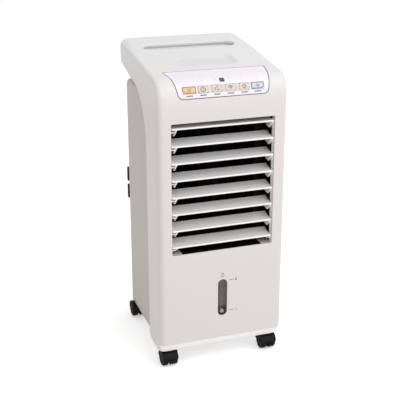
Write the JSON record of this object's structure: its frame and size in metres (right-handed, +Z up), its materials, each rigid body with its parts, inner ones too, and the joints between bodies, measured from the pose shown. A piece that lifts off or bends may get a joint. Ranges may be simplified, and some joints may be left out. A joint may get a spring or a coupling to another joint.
{
  "type": "evaporative cooler",
  "caption": "Tower evaporative cooler with tilting outlet blades, swinging vanes, cross-flow fan, wet pad, slide-out water tank, push keys and swivel castors.",
  "frame": {"origin": "centre of the footprint on the floor", "axes": "+Z up, -Y out of the front face, +X to the right seen from the front"},
  "size_m": [0.29, 0.31, 0.6999],
  "materials": {
    "white_shell": "satin moulded",
    "white_inner": "satin moulded",
    "black_duct": "matt moulded",
    "castor_black": "satin moulded",
    "panel_film": "printed film",
    "board_green": "lacquered laminate",
    "display_black": "glossy window",
    "key_orange": "satin moulded",
    "key_beige": "satin moulded",
    "key_blue": "satin moulded",
    "smoked_clear": "polished",
    "float_white": "satin moulded",
    "motor_steel": "plated",
    "pad_brown": "corrugated paper",
    "tank_grey": "translucent moulded",
    "hose_clear": "flexible tube",
    "grip_dark": "matt moulded"
  },
  "bodies": {
    "cabinet": {"front_hood": "white_shell", "handle_pocket": "white_inner", "rear_housing": "white_shell", "base_deck": "white_shell", "control_overlay": "panel_film", "control_board": "board_green", "display_module": "display_black", "louver_frame": "black_duct", "outlet_duct": "black_duct", "swing_motor": "motor_steel", "fan_deck_lower": "white_inner", "fan_deck_upper": "white_inner", "fan_motor": "motor_steel", "rotor_bearing": "motor_steel", "fan_scroll": "black_duct", "fan_tongue": "black_duct", "evaporative_pad": "pad_brown", "pad_frame": "white_inner", "intake_grille": "white_shell", "filter_grip_left": "grip_dark", "filter_grip_right": "grip_dark", "water_spreader": "white_inner", "water_hose": "hose_clear", "water_pump": "castor_black", "pump_bracket": "white_inner", "gauge_window": "smoked_clear", "cord_gland": "castor_black"},
    "louver_1": {"louver_1": "white_shell"},
    "louver_2": {"louver_2": "white_shell"},
    "louver_3": {"louver_3": "white_shell"},
    "louver_4": {"louver_4": "white_shell"},
    "louver_5": {"louver_5": "white_shell"},
    "louver_6": {"louver_6": "white_shell"},
    "louver_7": {"louver_7": "white_shell"},
    "louver_8": {"louver_8": "white_shell"},
    "louver_link": {"louver_link": "white_inner"},
    "vane_3": {"vane_3": "black_duct"},
    "vane_1": {"vane_1": "black_duct"},
    "vane_2": {"vane_2": "black_duct"},
    "vane_4": {"vane_4": "black_duct"},
    "vane_5": {"vane_5": "black_duct"},
    "vane_link": {"vane_link": "black_duct"},
    "fan_rotor": {"fan_rotor": "black_duct"},
    "castor_front_left_body": {"castor_front_left_body": "castor_black"},
    "castor_front_left_wheels": {"castor_front_left_wheels": "castor_black"},
    "castor_front_right_body": {"castor_front_right_body": "castor_black"},
    "castor_front_right_wheels": {"castor_front_right_wheels": "castor_black"},
    "castor_rear_left_body": {"castor_rear_left_body": "castor_black"},
    "castor_rear_left_wheels": {"castor_rear_left_wheels": "castor_black"},
    "castor_rear_right_body": {"castor_rear_right_body": "castor_black"},
    "castor_rear_right_wheels": {"castor_rear_right_wheels": "castor_black"},
    "key_heat": {"key_heat": "key_orange"},
    "key_timer": {"key_timer": "key_beige"},
    "key_speed": {"key_speed": "key_beige"},
    "key_swing": {"key_swing": "key_beige"},
    "key_mode": {"key_mode": "key_beige"},
    "key_cool": {"key_cool": "key_blue"},
    "water_tank": {"water_tank": "tank_grey"},
    "tank_latch": {"tank_latch": "white_shell"},
    "level_float": {"level_float": "float_white"}
  },
  "joints": [
    {"name": "louver_1_tilt", "type": "hinge", "parent": "cabinet", "child": "louver_1", "pos_m": [0, -0.145, 0.54862], "axis": [1, 0, 0], "range_deg": [-15, 20]},
    {"name": "louver_2_tilt", "type": "hinge", "parent": "cabinet", "child": "louver_2", "pos_m": [0, -0.145, 0.51102], "axis": [1, 0, 0], "range_deg": [-15, 20]},
    {"name": "louver_3_tilt", "type": "hinge", "parent": "cabinet", "child": "louver_3", "pos_m": [0, -0.145, 0.47342], "axis": [1, 0, 0], "range_deg": [-15, 20]},
    {"name": "louver_4_tilt", "type": "hinge", "parent": "cabinet", "child": "louver_4", "pos_m": [0, -0.145, 0.43582], "axis": [1, 0, 0], "range_deg": [-15, 20]},
    {"name": "louver_5_tilt", "type": "hinge", "parent": "cabinet", "child": "louver_5", "pos_m": [0, -0.145, 0.39822], "axis": [1, 0, 0], "range_deg": [-15, 20]},
    {"name": "louver_6_tilt", "type": "hinge", "parent": "cabinet", "child": "louver_6", "pos_m": [0, -0.145, 0.36062], "axis": [1, 0, 0], "range_deg": [-15, 20]},
    {"name": "louver_7_tilt", "type": "hinge", "parent": "cabinet", "child": "louver_7", "pos_m": [0, -0.145, 0.32302], "axis": [1, 0, 0], "range_deg": [-15, 20]},
    {"name": "louver_8_tilt", "type": "hinge", "parent": "cabinet", "child": "louver_8", "pos_m": [0, -0.145, 0.28542], "axis": [1, 0, 0], "range_deg": [-15, 20]},
    {"name": "louver_link_pivot", "type": "hinge", "parent": "louver_1", "child": "louver_link", "pos_m": [0, -0.107, 0.55362], "axis": [1, 0, 0], "range_deg": [-20, 15]},
    {"name": "vane_3_swing", "type": "hinge", "parent": "cabinet", "child": "vane_3", "pos_m": [0, -0.079, 0.29682], "axis": [0, 0, 1], "range_deg": [-30, 30]},
    {"name": "vane_1_swing", "type": "hinge", "parent": "cabinet", "child": "vane_1", "pos_m": [-0.072, -0.079, 0.29682], "axis": [0, 0, 1], "range_deg": [-30, 30]},
    {"name": "vane_2_swing", "type": "hinge", "parent": "cabinet", "child": "vane_2", "pos_m": [-0.036, -0.079, 0.29682], "axis": [0, 0, 1], "range_deg": [-30, 30]},
    {"name": "vane_4_swing", "type": "hinge", "parent": "cabinet", "child": "vane_4", "pos_m": [0.036, -0.079, 0.29682], "axis": [0, 0, 1], "range_deg": [-30, 30]},
    {"name": "vane_5_swing", "type": "hinge", "parent": "cabinet", "child": "vane_5", "pos_m": [0.072, -0.079, 0.29682], "axis": [0, 0, 1], "range_deg": [-30, 30]},
    {"name": "vane_link_pivot", "type": "hinge", "parent": "vane_3", "child": "vane_link", "pos_m": [0, -0.0635, 0.29832], "axis": [0, 0, 1], "range_deg": [-30, 30]},
    {"name": "fan_spin", "type": "hinge", "parent": "cabinet", "child": "fan_rotor", "pos_m": [0, 0.003, 0.30082], "axis": [0, 0, 1], "continuous": true},
    {"name": "castor_front_left_swivel", "type": "hinge", "parent": "cabinet", "child": "castor_front_left_body", "pos_m": [-0.12, -0.1355, 0.0402], "axis": [0, 0, 1], "continuous": true},
    {"name": "castor_front_left_roll", "type": "hinge", "parent": "castor_front_left_body", "child": "castor_front_left_wheels", "pos_m": [-0.12, -0.1285, 0.0185], "axis": [1, 0, 0], "continuous": true},
    {"name": "castor_front_right_swivel", "type": "hinge", "parent": "cabinet", "child": "castor_front_right_body", "pos_m": [0.12, -0.1355, 0.0402], "axis": [0, 0, 1], "continuous": true},
    {"name": "castor_front_right_roll", "type": "hinge", "parent": "castor_front_right_body", "child": "castor_front_right_wheels", "pos_m": [0.12, -0.1285, 0.0185], "axis": [1, 0, 0], "continuous": true},
    {"name": "castor_rear_left_swivel", "type": "hinge", "parent": "cabinet", "child": "castor_rear_left_body", "pos_m": [-0.12, 0.121, 0.0402], "axis": [0, 0, 1], "continuous": true},
    {"name": "castor_rear_left_roll", "type": "hinge", "parent": "castor_rear_left_body", "child": "castor_rear_left_wheels", "pos_m": [-0.12, 0.128, 0.0185], "axis": [1, 0, 0], "continuous": true},
    {"name": "castor_rear_right_swivel", "type": "hinge", "parent": "cabinet", "child": "castor_rear_right_body", "pos_m": [0.12, 0.121, 0.0402], "axis": [0, 0, 1], "continuous": true},
    {"name": "castor_rear_right_roll", "type": "hinge", "parent": "castor_rear_right_body", "child": "castor_rear_right_wheels", "pos_m": [0.12, 0.128, 0.0185], "axis": [1, 0, 0], "continuous": true},
    {"name": "key_heat_press", "type": "slide", "parent": "cabinet", "child": "key_heat", "axis": [0, 0.8988, -0.4384], "range_m": [0, 0.001], "stiffness_N_per_m": 400},
    {"name": "key_timer_press", "type": "slide", "parent": "cabinet", "child": "key_timer", "axis": [0, 0.8988, -0.4384], "range_m": [0, 0.001], "stiffness_N_per_m": 400},
    {"name": "key_speed_press", "type": "slide", "parent": "cabinet", "child": "key_speed", "axis": [0, 0.8988, -0.4384], "range_m": [0, 0.001], "stiffness_N_per_m": 400},
    {"name": "key_swing_press", "type": "slide", "parent": "cabinet", "child": "key_swing", "axis": [0, 0.8988, -0.4384], "range_m": [0, 0.001], "stiffness_N_per_m": 400},
    {"name": "key_mode_press", "type": "slide", "parent": "cabinet", "child": "key_mode", "axis": [0, 0.8988, -0.4384], "range_m": [0, 0.001], "stiffness_N_per_m": 400},
    {"name": "key_cool_press", "type": "slide", "parent": "cabinet", "child": "key_cool", "axis": [0, 0.8988, -0.4384], "range_m": [0, 0.001], "stiffness_N_per_m": 400},
    {"name": "tank_slide", "type": "slide", "parent": "cabinet", "child": "water_tank", "axis": [0, 1, 0], "range_m": [0, 0.14]},
    {"name": "latch_turn", "type": "hinge", "parent": "cabinet", "child": "tank_latch", "pos_m": [0, 0.1403, 0.22352], "axis": [0, 1, 0], "range_deg": [-90, 0]},
    {"name": "float_rise", "type": "slide", "parent": "cabinet", "child": "level_float", "axis": [0, 0, 1], "range_m": [0, 0.07]}
  ],
  "couplings": [
    {"joint": "louver_2_tilt", "follows": "louver_1_tilt", "ratio": 1},
    {"joint": "louver_3_tilt", "follows": "louver_1_tilt", "ratio": 1},
    {"joint": "louver_4_tilt", "follows": "louver_1_tilt", "ratio": 1},
    {"joint": "louver_5_tilt", "follows": "louver_1_tilt", "ratio": 1},
    {"joint": "louver_6_tilt", "follows": "louver_1_tilt", "ratio": 1},
    {"joint": "louver_7_tilt", "follows": "louver_1_tilt", "ratio": 1},
    {"joint": "louver_8_tilt", "follows": "louver_1_tilt", "ratio": 1},
    {"joint": "louver_link_pivot", "follows": "louver_1_tilt", "ratio": -1},
    {"joint": "vane_1_swing", "follows": "vane_3_swing", "ratio": 1},
    {"joint": "vane_2_swing", "follows": "vane_3_swing", "ratio": 1},
    {"joint": "vane_4_swing", "follows": "vane_3_swing", "ratio": 1},
    {"joint": "vane_5_swing", "follows": "vane_3_swing", "ratio": 1},
    {"joint": "vane_link_pivot", "follows": "vane_3_swing", "ratio": -1}
  ]
}
